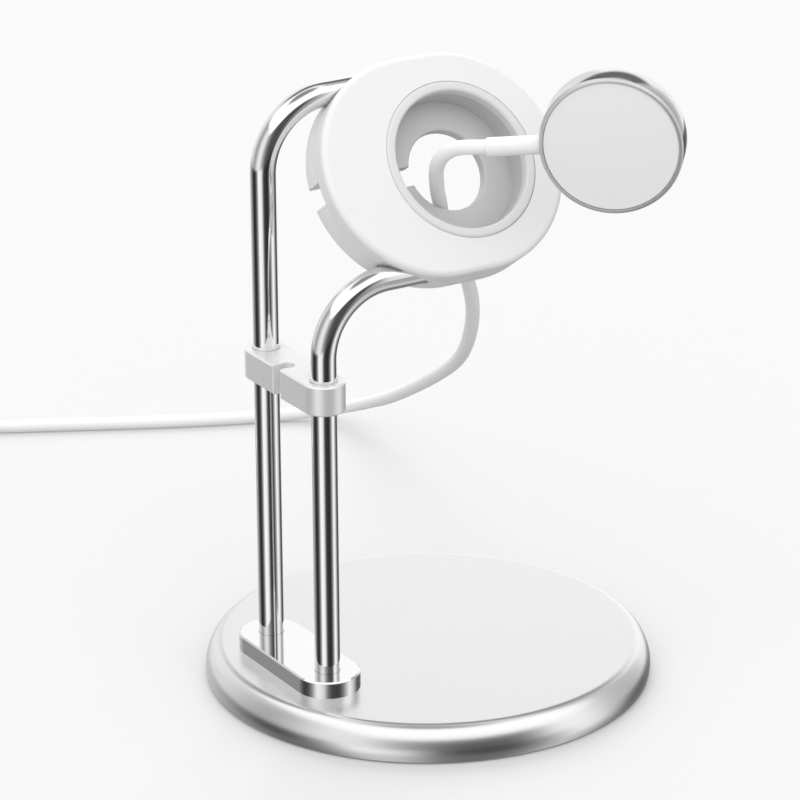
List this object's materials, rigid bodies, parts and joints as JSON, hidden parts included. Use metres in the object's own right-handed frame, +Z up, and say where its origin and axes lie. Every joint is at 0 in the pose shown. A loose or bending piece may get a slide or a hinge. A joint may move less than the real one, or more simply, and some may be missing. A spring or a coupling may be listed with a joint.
{
  "type": "smartwatch charging stand",
  "caption": "Desk stand for a watch charger: weighted round base, bent rod with a cable clip, tilted head with a round recess, and a round charging puck on a thin cord.",
  "frame": {"origin": "centre of the underside of the round base, on the surface it stands on", "axes": "+Z up, +X from the posts to the head, -Y towards the watch"},
  "size_m": [0.1349, 0.2255, 0.1314],
  "materials": {
    "satin_aluminium": "fine bead-blasted satin, bright at the edges",
    "chrome_rod": "mirror-polished plating",
    "chrome_plate": "mirror-polished plating",
    "clip_metal": "satin, thin bright chamfers",
    "screw_steel": "zinc-plated",
    "ballast_iron": "black oxide, turned faces",
    "pad_rubber": "matt, fine grain",
    "head_white": "smooth satin moulding",
    "ring_soft": "soft matt silicone",
    "puck_metal": "polished",
    "puck_white": "smooth satin",
    "copper": "enamelled wire, flat wound",
    "ferrite": "sintered, matt",
    "magnet_plating": "nickel plated",
    "board_green": "solder mask",
    "cord_white": "smooth soft jacket",
    "tie_grey": "matt strap",
    "plug_white": "satin moulding",
    "plug_metal": "nickel plated, drawn"
  },
  "bodies": {
    "stand": {"base_shell": "satin_aluminium", "ballast_disc": "ballast_iron", "foot_pad": "pad_rubber", "rod_screws": "screw_steel", "post_foot_plate": "chrome_plate", "bent_rod": "chrome_rod", "head_front_shell": "head_white", "recess_ring": "ring_soft", "head_rear_shell": "head_white", "head_screws": "screw_steel", "puck_housing": "puck_metal", "puck_face": "puck_white", "puck_coil": "copper", "puck_ferrite": "ferrite", "puck_magnet": "magnet_plating", "puck_board": "board_green", "puck_sleeve": "cord_white", "cord_run": "cord_white", "cord_coil": "cord_white", "cord_tail": "cord_white", "coil_tie": "tie_grey", "plug_strain_relief": "plug_white", "plug_body": "plug_white", "plug_shell": "plug_metal", "plug_tongue": "plug_white"},
    "clip": {"cable_clip": "clip_metal"}
  },
  "joints": [
    {"name": "clip_slide", "type": "slide", "parent": "stand", "child": "clip", "axis": [0, 0, 1], "range_m": [-0.054, 0.0035]}
  ]
}
